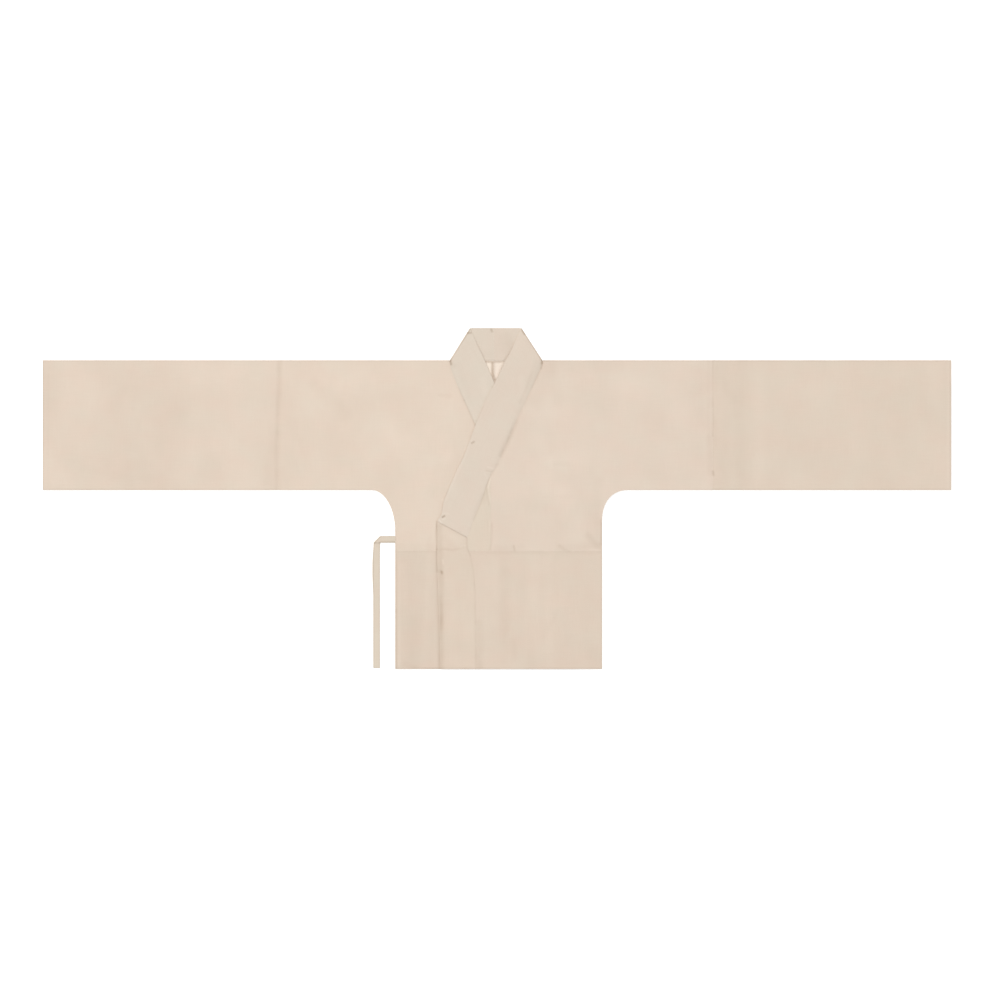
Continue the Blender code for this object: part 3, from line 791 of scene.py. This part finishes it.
# The band is a little fuller along its middle, and rolls down to the cloth at its sewn edge and its end.
# Just past a corner its free edge is tucked down on to the stretch that lies on the table.
COLLAR_FREE = 0.5
INSET_FADE = 0.3
END_FADE = 0.6
CROWN = 0.25
ROLL = 0.18
ROLL_STEP = 0.1
TUCK = 0.25
TUCK_ROWS = 50
TUCK_LEVEL = 1.5 * COLLAR_SHELL + ROLL_STEP
# Painted shade along the collar's edges at the back of the neck and broadly over it, and a small dark dot at
# its top edge
NECK_MARKS = (
    Mark(((-64, 409), (60, 409)), 3.4, 0.1, 0.14),
    Mark(((-40, 330), (26, 330)), 3.4, 0.1, 0.14),
    Mark(((-25, 372), (25, 372)), 55.0, 0.0, 0.03),
    Mark(((10, 384), (20, 352)), 15.0, 0.1, 0.02),
    Mark(((26, 388), (36, 352)), 15.0, 0.1, 0.05),
    Mark(((-20, 345), (-10, 340)), 20.0, 0.1, 0.02),
    Mark(((-14, 406), (-12, 401)), 4.0, 0.1, 0.30),
    Mark(((-44, 364), (-34, 342)), 3.4, 0.1, 0.05),
    Mark(((32, 352), (22, 336)), 4.0, 0.1, 0.06))
# Painted shade along the inner collar's free edge and its corner crease, a dark spot at the corner, and a
# paler patch
COLLAR_RIGHT_MARKS = INNER_SEWN_EDGE + (
    Mark(((-48, 371), (-38, 350)), 3.2, 0.1, 0.07),
    Mark(((-64, 408), (-113, 331)), 3.6, 0.2, 0.26),
    Mark(((-70, 397), (-62, 397.5)), 3.8, 0.2, 0.30),
    Mark(((-92, 320), (-84, 290), (-60, 230)), 14.0, 0.2, 0.02),
    Mark(((-34, 284), (-26, 252)), 14.0, 0.0, -0.04))
# A painted highlight along the outer collar's free edge, painted shade along its edges, corner crease and
# slanted end, small dark nicks, and painted highlights on small ridges
COLLAR_LEFT_MARKS = OUTER_SEWN_EDGE + (
    Mark(((57, 404), (45.5, 380.5), (34, 355)), 3.0, 0.0, -0.04),
    Mark(((30, 349), (18, 329), (0, 290)), 3.2, 0.1, 0.16),
    Mark(((-33, 220), (-48, 186)), 3.0, 0.2, 0.05),
    Mark(((-60, 140), (-76, 99), (-90, 70), (-106, 33), (-121, -4)), 5.0, -0.15, -0.03),
    Mark(((-66, 140), (-82, 97), (-96, 70), (-116, 22)), 3.0, 0.0, -0.055),
    Mark(((-103, 44), (-104, 12)), 14.0, 0.0, -0.025),
    Mark(((-116, 22), (-128, -4), (-134, -36)), 3.0, 0.2, 0.05),
    Mark(((60, 408), (108, 332)), 4.0, 0.2, 0.30),
    Mark(((60, 403), (65.5, 394)), 3.6, 0.2, 0.24),
    Mark(((94, 328), (86, 306), (72, 268), (56, 230)), 7.0, 0.3, 0.05),
    Mark(((-61, 133), (-55, 136)), 3.2, 0.2, 0.38),
    Mark(((-131, -45), (-126, -42)), 3.2, 0.2, 0.46),
    Mark(((-132, -61), (-72, -93.5)), 3.0, 0.1, 0.04),
    Mark(((-129, -36), (-115, -37)), 3.0, -0.15, -0.06),
    Mark(((-141, -48), (-133, -59)), 3.2, -0.15, -0.10),
    Mark(((-22, 75), (-8, 71)), 3.6, -0.25, -0.05),
    Mark(((-25, 67), (-12, 64)), 3.6, 0.25, 0.08),
    Mark(((-30, 60), (-22, 46)), 3.6, -0.2, -0.04),
    Mark(((-34, 8), (-56, -48)), 7.0, 0.3, 0.05),
    Mark(((57, 288), (62, 248)), 14.0, 0.0, -0.03),
    Mark(((-131, -50), (-125, -48)), 3.0, 0.0, -0.08))


def collar(half, sections, colour, marks, rests_on):
    """Half of the collar band: along the back of the neck, over at the neck corner and down the front."""
    first = sections[0]
    fold_radius = (COLLAR_CLOTH + SEAM) / 2
    crease = Vector((first.free_x - first.sewn_x, first.free_y - first.sewn_y)).normalized()
    outward = Vector((half.way * abs(crease.y), abs(crease.x)))
    inset = outward * (fold_radius + COLLAR_CLOTH / 2)
    free_corner = Vector((first.free_x - inset.x, COLLAR_TOP - inset.y))
    sewn_corner = Vector((first.sewn_x - inset.x, FOLD_LINE + SEAM))
    back_x = CENTRE_BACK + half.way * SHORT
    stations = []
    for step in range(NECK_ROWS):
        free = (mix(back_x, free_corner.x, step / NECK_ROWS), COLLAR_TOP)
        sewn = (mix(back_x, sewn_corner.x, step / NECK_ROWS), FOLD_LINE + SEAM)
        stations.append((free, sewn, COLLAR_SHELL / 2, 0.0, 0.0))
    for step in range(FOLD_ROWS + 1):
        turn = math.pi * step / FOLD_ROWS
        reach = outward * fold_radius * math.sin(turn)
        height = mix(COLLAR_SHELL / 2, COLLAR_LEVEL + COLLAR_CLOTH / 2, (1 - math.cos(turn)) / 2)
        stations.append((tuple(free_corner + reach), tuple(sewn_corner + reach), height, 0.0, 0.0))
    last = len(sections) - 1
    for step in range(1, COLLAR_ROWS + 1):
        row = last * step / COLLAR_ROWS
        free_x, free_y, sewn_x, sewn_y, lift = (curve(sections, column, row) for column in Section._fields)
        left_over = 1 - soft(row / INSET_FADE)
        free = Vector((free_x, free_y)) - inset * left_over
        sewn = Vector((sewn_x, sewn_y)) - inset * left_over
        sewn += (free - sewn).normalized() * COLLAR_SHORT
        height = COLLAR_LEVEL + lift * OUTER_COLLAR_RISE + COLLAR_CLOTH / 2
        stations.append((tuple(free), tuple(sewn), height, 1 - left_over, soft((row - last) / END_FADE + 1)))

    lengths = [0.0]
    for before, after in zip(stations, stations[1:]):
        lengths.append(lengths[-1] + math.dist(mix(*before[:2], 0.5), mix(*after[:2], 0.5)))

    def place(column, row):
        free, sewn, height, sewn_down, ended = stations[row]
        share = closer(column, COLLAR_COLUMNS)
        x, y = mix(free, sewn, share)
        across = share * math.dist(free, sewn)
        if row < NECK_ROWS:
            return Spot(x, y, height, ON_TABLE, across, lengths[row], 0.0)
        height += CROWN * (1 - (2 * share - 1) ** 2)
        tucked = soft(1 - share / TUCK) * soft(1 - (row - NECK_ROWS - FOLD_ROWS) / TUCK_ROWS)
        height = min(height, mix(height, TUCK_LEVEL, tucked))
        beside = front_level(half, x, y) + ROLL_STEP - (COLLAR_SHELL - SHELL) / 2
        height = mix(height, beside, max(ended, sewn_down * soft(1 - (1 - share) / ROLL)))
        return Spot(x, y, height, COLLAR_FREE, across, lengths[row], 0.0)

    name = "collar_" + half.name
    piece = lay(name + "_cloth", COLLAR_COLUMNS, len(stations) - 1, place, COLLAR_SHELL, marks, NECK_MARKS)
    fit(piece, name, woven(name, colour, COLLAR_PATCHINESS))
    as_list(rests_on)


collar(RIGHT, INNER_COLLAR, COLLAR_RIGHT_COLOUR, COLLAR_RIGHT_MARKS, ["body_right_cloth", "body_left_cloth"])
collar(LEFT, OUTER_COLLAR, COLLAR_LEFT_COLOUR, COLLAR_LEFT_MARKS, ["collar_right_cloth", "body_left_cloth"])


# The overlaps
# A narrow piece widens each front past its centre seam, from the collar's sewn edge to the waist. The outer
# one has soft creases where it was pressed, with painted shade and painted highlight along them. The inner
# one lies hidden beneath the left front.
OVERLAP_COLOUR = (0.713, 0.609, 0.496)
OVERLAP_COLUMNS = 30
OVERLAP_ROWS = 66
LOW_SEAM_X = -69.0
# Painted shade in the pressed creases, a painted highlight beside one, and soft painted shade in the wedge by
# the collar's sewn edge
OVERLAP_MARKS = (
    Mark(((-18, 52), (-25, 27), (-24, 15), (-18, -16)), 4.0, 0.35, 0.08),
    Mark(((-15, 50), (-21, 27), (-20, 15), (-14, -16)), 3.5, -0.2, -0.08),
    Mark(((-33, 12), (-56, -48)), 8.0, 0.3, 0.09),
    Mark(((-26, 20), (-31, -6)), 12.0, 0.2, 0.05))
# Painted shade along the band's seam above the waist
BAND_EDGE_UPPER = (
    Mark(((-72, -95), (-73, -112), (-69, -126), (-64, -137)), 3.6, 0.25, 0.09),)


def overlap(name, half, tops, low_end, marks):
    """A front's widening piece, from a line of points along the collar straight down to the waist seam."""
    low_start = tops[0][0]
    share = (low_start - low_end) / (low_start - tops[-1][0])
    ends = [(mix(low_start, x, share), WAIST + SHORT) for x, y in tops]

    def place(column, row):
        x, y = mix(tops[column], ends[column], closer(row, OVERLAP_ROWS))
        return front_spot(half, x, y)

    piece = lay(name + "_cloth", len(tops) - 1, OVERLAP_ROWS, place, SHELL, marks)
    fit(piece, name, woven(name, OVERLAP_COLOUR))


def sewn_line(sections, start, steps):
    """Points along a collar's sewn edge, from a row of its table to its last one."""
    rows = [mix(start, len(sections) - 1, step / steps) for step in range(steps + 1)]
    return [(curve(sections, "sewn_x", row), curve(sections, "sewn_y", row)) for row in rows]


outer_tops = sewn_line(OUTER_COLLAR, OUTER_CENTRE, OVERLAP_COLUMNS)
outer_tops[0] = (OUTER_CENTRE_FRONT - SHORT, outer_tops[0][1])
outer_tops[-1] = (outer_tops[-1][0] + SHORT, outer_tops[-1][1])
overlap("overlap_left", LEFT, outer_tops, LOW_SEAM_X + SHORT,
        OUTER_SEWN_EDGE + OVERLAP_MARKS + LEFT_WAIST_SEAM + BAND_EDGE_UPPER)

inner_end = INNER_COLLAR[-1]
inner_tops = sewn_line(INNER_COLLAR, INNER_CENTRE, OVERLAP_COLUMNS // 2)
inner_tops[0] = (INNER_CENTRE_FRONT + SHORT, inner_tops[0][1])
inner_tops[-1] = (inner_tops[-1][0], inner_tops[-1][1] - 2 * SEAM)
for step in range(1, OVERLAP_COLUMNS // 2 + 1):
    share = 2 * step / OVERLAP_COLUMNS
    inner_tops.append((mix(inner_end.sewn_x, inner_end.free_x, share),
                       mix(inner_end.sewn_y, inner_end.free_y, share) - 2 * SEAM))
overlap("overlap_right", RIGHT, inner_tops, inner_end.free_x, ())


# The front band
# It finishes the left front edge from the collar's slanted end down to the hem. Its open edge is turned
# under and pressed, and it is seamed to the skirt in a line that bends at the waist.
BAND_COLOUR = (0.708, 0.591, 0.482)
HEM = -409.0
EDGE_DROP = 0.8
EDGE_TURN = 14.0
BAND_COLUMNS = 34
BAND_TOP_ROWS = 16
BAND_ROWS = 96
Band = namedtuple("Band", "edge_x edge_y seam_x seam_y")
FRONT_BAND = (
    Band(-144.0, -54.9, -72.0, -93.4),
    Band(-144.0, -90.0, -70.5, -110.0),
    Band(-144.0, -126.0, -69.0, -126.0),
    Band(-144.0, -139.0, -64.0, -139.0),
    Band(-143.5, -171.5, -56.5, -171.5),
    Band(-141.5, -219.5, -53.0, -219.5),
    Band(-138.5, -330.0, -51.5, -330.0),
    Band(-136.0, -409.0, -50.5, -409.0))
BAND_WAIST = 2
# Painted shade along the band's seam on the skirt, spreading beside it near the hem
BAND_SEAM = BAND_EDGE_UPPER + (
    Mark(((-64, -139), (-57, -171), (-53, -219)), 3.4, 0.25, 0.045),
    Mark(((-54, -205), (-53, -219), (-52, -300)), 4.5, 0.2, 0.045),
    Mark(((-51, -335), (-50.5, -409)), 4.0, 0.2, 0.03),
    Mark(((-44, -300), (-40, -409)), 16.0, 0.2, 0.055),
    Mark(((-95, -352), (-35, -352)), 42.0, 0.1, 0.025),
    Mark(((-48, -380), (-42, -409)), 12.0, 0.2, 0.05))
# Painted shade along the hem
HEM_MARKS = (
    Mark(((-243, -409), (252, -409)), 3.5, 0.3, 0.14),
    Mark(((-172, -409), (-40, -409)), 4.0, 0.2, 0.05))
# Painted shadow of the turned-under front edge, a strip on the band and the skirt beside it, with a painted
# highlight at the edge and a dark nick
FRONT_EDGE = FRONT_EDGE_UPPER + (
    Mark(((-135.5, -180), (-134.5, -409)), 13.0, 0.3, 0.12),
    Mark(((-143, -180), (-141.5, -219), (-138.5, -330), (-136.5, -409)), 3.0, 0.0, -0.06),
    Mark(((-134.5, -236), (-132.5, -280), (-134.5, -336)), 7.0, 0.2, 0.05),
    Mark(((-133, -254), (-133.5, -312)), 7.0, 0.2, 0.06),
    Mark(((-132.6, -176), (-132, -180)), 4.0, 0.3, 0.30))
# Painted shadow under the collar's slanted end, painted highlights that lighten the band below it, and
# painted shade and highlight on small creases
BAND_MARKS = (
    Mark(((-132, -61.5), (-72, -94)), 2.8, 0.1, 0.13),
    Mark(((-125, -80), (-85, -100)), 15.0, 0.0, -0.035),
    Mark(((-112, -92), (-92, -110)), 14.0, 0.0, -0.025),
    Mark(((-130, -121), (-105, -124), (-80, -117)), 4.5, 0.2, 0.08),
    Mark(((-87, -117), (-76, -113)), 3.2, -0.2, -0.10),
    Mark(((-130, -148), (-129, -156)), 4.0, -0.25, -0.10),
    Mark(((-110, -200), (-106, -390)), 20.0, -0.2, -0.02))


def band_seam_x(y):
    """Where the band's seam on the skirt lies at a height on the picture."""
    below = FRONT_BAND[BAND_WAIST:]
    position = np.interp(-y, [-row.seam_y for row in below], range(len(below)))
    return curve(below, "seam_x", float(position))


def band_place(column, row):
    """Place a point of the band: straight from row to row of its table above the waist, and curved below."""
    if row < BAND_TOP_ROWS:
        position = BAND_WAIST * row / BAND_TOP_ROWS
        edge_x, edge_y, seam_x, seam_y = (
            np.interp(position, range(len(FRONT_BAND)), values) for values in zip(*FRONT_BAND))
        edge, seam = (edge_x, edge_y), (seam_x, seam_y)
    else:
        y = mix(WAIST, HEM, (row - BAND_TOP_ROWS) / (BAND_ROWS - BAND_TOP_ROWS))
        below = FRONT_BAND[BAND_WAIST:]
        position = float(np.interp(-y, [-band.edge_y for band in below], range(len(below))))
        edge, seam = (curve(below, "edge_x", position), y), (band_seam_x(y), y)
    seam = (seam[0] - SHORT, seam[1])
    x, y = mix(edge, seam, closer(column, BAND_COLUMNS))
    spot = front_spot(LEFT, x, y)
    drop = EDGE_DROP * (1 - soft((x - edge[0]) / EDGE_TURN))
    return spot._replace(z=spot.z - drop)


front_band = lay("front_band_left_cloth", BAND_COLUMNS, BAND_ROWS, band_place, SHELL,
                 BAND_SEAM + FRONT_EDGE + HEM_MARKS + BAND_MARKS)
fit(front_band, "front_band_left", woven("front_band", BAND_COLOUR))


# The skirt
# Below the waist seam a back piece and two fronts hang straight to a turned hem. The left front shows a
# row of soft upright folds, and the right one runs on beneath it.
SKIRT_RIGHT_COLOUR = (0.694, 0.575, 0.469)
SKIRT_LEFT_COLOUR = (0.704, 0.586, 0.480)
SKIRT_ROWS = 78
SKIRT_LEFT_COLUMNS = 104
SKIRT_RIGHT_COLUMNS = 100
SKIRT_BACK_COLUMNS = 50
SKIRT_BACK_ROWS = 28
# Soft paler and darker upright bands, painted sheen and painted shade over the folds, and a painted highlight
# beside the front band's edge
SKIRT_RIGHT_MARKS = (
    Mark(((-160, -140), (-164, -300)), 16.0, -0.2, -0.03),
    Mark(((-198, -290), (-200, -400)), 28.0, 0.2, 0.045),
    Mark(((-152, -185), (-146, -400)), 8.0, 0.0, -0.03),
    Mark(((-224, -165), (-220, -250)), 16.0, -0.2, -0.025),
    Mark(((-222, -398), (-196, -409)), 13.0, 0.2, 0.05),
    Mark(((-234.5, -135), (-234.5, -400)), 6.0, -0.2, -0.05))
# Soft paler and darker upright bands, painted sheen and painted shade over the folds
SKIRT_LEFT_MARKS = (
    Mark(((-2, -150), (-4, -300)), 16.0, -0.2, -0.02),
    Mark(((20, -180), (18, -390)), 24.0, 0.1, 0.03),
    Mark(((123, -150), (124, -395)), 20.0, -0.1, -0.035),
    Mark(((84, -275), (84, -405)), 18.0, 0.1, 0.028),
    Mark(((41, -340), (42, -385)), 12.0, 0.2, 0.03),
    Mark(((92, -150), (96, -370)), 26.0, -0.2, -0.02),
    Mark(((160, -160), (170, -250)), 30.0, -0.2, -0.02),
    Mark(((180, -340), (248, -380)), 30.0, 0.2, 0.02),
    Mark(((120, -320), (146, -270)), 8.0, 0.15, 0.02))


def skirt(name, columns, rows, start_x, end_x, level, colour, marks):
    """A panel from the waist seam down to the hem, from a side that may change with y to a straight one."""
    def place(column, row):
        y = mix(WAIST - SHORT, HEM, closer(row, rows))
        return level(mix(start_x(y), end_x, closer(column, columns)), y)

    piece = lay(name + "_cloth", columns, rows, place, SHELL, marks, BACK_MARKS)
    fit(piece, name, woven(name, colour))


skirt("skirt_back", SKIRT_BACK_COLUMNS, SKIRT_BACK_ROWS, lambda y: -RIGHT.side, LEFT.side,
      lambda x, y: Spot(x, y, SHELL / 2, ON_TABLE, x, y, 0.0), SKIRT_RIGHT_COLOUR, ())
skirt("skirt_right", SKIRT_RIGHT_COLUMNS, SKIRT_ROWS, lambda y: -RIGHT.side, inner_end.free_x,
      lambda x, y: front_spot(RIGHT, x, y), SKIRT_RIGHT_COLOUR,
      RIGHT_WAIST_SEAM + RIGHT_SIDE_EDGE + FRONT_EDGE + HEM_MARKS + SKIRT_RIGHT_MARKS)
skirt("skirt_left", SKIRT_LEFT_COLUMNS, SKIRT_ROWS, lambda y: band_seam_x(y) + SHORT, LEFT.side,
      lambda x, y: front_spot(LEFT, x, y), SKIRT_LEFT_COLOUR,
      BAND_SEAM + LEFT_WAIST_SEAM + LEFT_SIDE_EDGE + HEM_MARKS + SKIRT_LEFT_MARKS)


# The tie
# A narrow strip, folded and stitched along its length, leaves the right side seam, turns over on a
# slanted crease and lies straight down beside the skirt.
TIE_COLOUR = (0.709, 0.614, 0.503)
TIE_WIDTH = 16.0
TIE_TOP = -90.0
TIE_INNER = -281.0
TIE_END = -407.0
TIE_COLUMNS = 8
TIE_RUN_ROWS = 16
TIE_DOWN_ROWS = 110
# On its way down the strip is back in line after 1 / TIE_IN_LINE of it, and bows out over the first
# 1 / TIE_BOW_ENDS of it
TIE_IN_LINE = 6
TIE_BOW = 2.2
TIE_BOW_ENDS = 2.4
# Painted shade along the tie's edges and its slanted crease
TIE_MARKS = (
    Mark(((-297, -112), (-297, -407)), 3.2, 0.2, 0.20),
    Mark(((-281, -107), (-281, -407)), 3.2, 0.2, 0.16),
    Mark(((-281, -90), (-243, -90)), 3.2, 0.2, 0.16),
    Mark(((-281, -105), (-243, -105)), 4.0, 0.2, 0.26),
    Mark(((-299, -112), (-281, -91)), 4.0, 0.2, 0.20),
    Mark(((-297, -407), (-281, -407)), 3.2, 0.2, 0.16))

tie_low = TIE_TOP - TIE_WIDTH
tie_outer = TIE_INNER - TIE_WIDTH
tie_out = Vector((-1.0, 1.0)).normalized()
tie_inset = tie_out * (FOLD_RADIUS + CLOTH / 2)
tie_over = FRONT_LEVEL + CLOTH / 2
tie_stations = []
for step in range(TIE_RUN_ROWS):
    x_top, x_low = (mix(-RIGHT.side - SEAM, end - tie_inset.x, step / TIE_RUN_ROWS)
                    for end in (TIE_INNER, tie_outer))
    tie_stations.append(((x_top, TIE_TOP), (x_low, tie_low), tie_over))
for step in range(FOLD_ROWS + 1):
    turn = math.pi * step / FOLD_ROWS
    reach = tie_out * FOLD_RADIUS * math.sin(turn) - tie_inset
    height = mix(tie_over, SHELL / 2, (1 - math.cos(turn)) / 2)
    tie_stations.append(((TIE_INNER + reach.x, TIE_TOP + reach.y),
                         (tie_outer + reach.x, tie_low + reach.y), height))
(x_top, y_top), (x_low, y_low), height = tie_stations[-1]
for step in range(1, TIE_DOWN_ROWS + 1):
    tie_share = step / TIE_DOWN_ROWS
    slant = soft(tie_share * TIE_IN_LINE)
    bow = TIE_BOW * math.sin(math.pi * min(1.0, tie_share * TIE_BOW_ENDS))
    tie_stations.append(((mix(x_top, TIE_INNER, slant), mix(y_top, TIE_END, tie_share)),
                         (mix(x_low, tie_outer, slant) - bow, mix(y_low, TIE_END, tie_share)), height))


def tie_place(column, row):
    """Place a point of the tie between its two edges."""
    one, other, height = tie_stations[row]
    share = column / TIE_COLUMNS
    x, y = mix(one, other, share)
    return Spot(x, y, height, 0.0, share * TIE_WIDTH, -x if row < TIE_RUN_ROWS else -y, 0.0)


tie = lay("tie_right_cloth", TIE_COLUMNS, len(tie_stations) - 1, tie_place, SHELL, TIE_MARKS)
fit(tie, "tie_right", woven("tie", TIE_COLOUR))
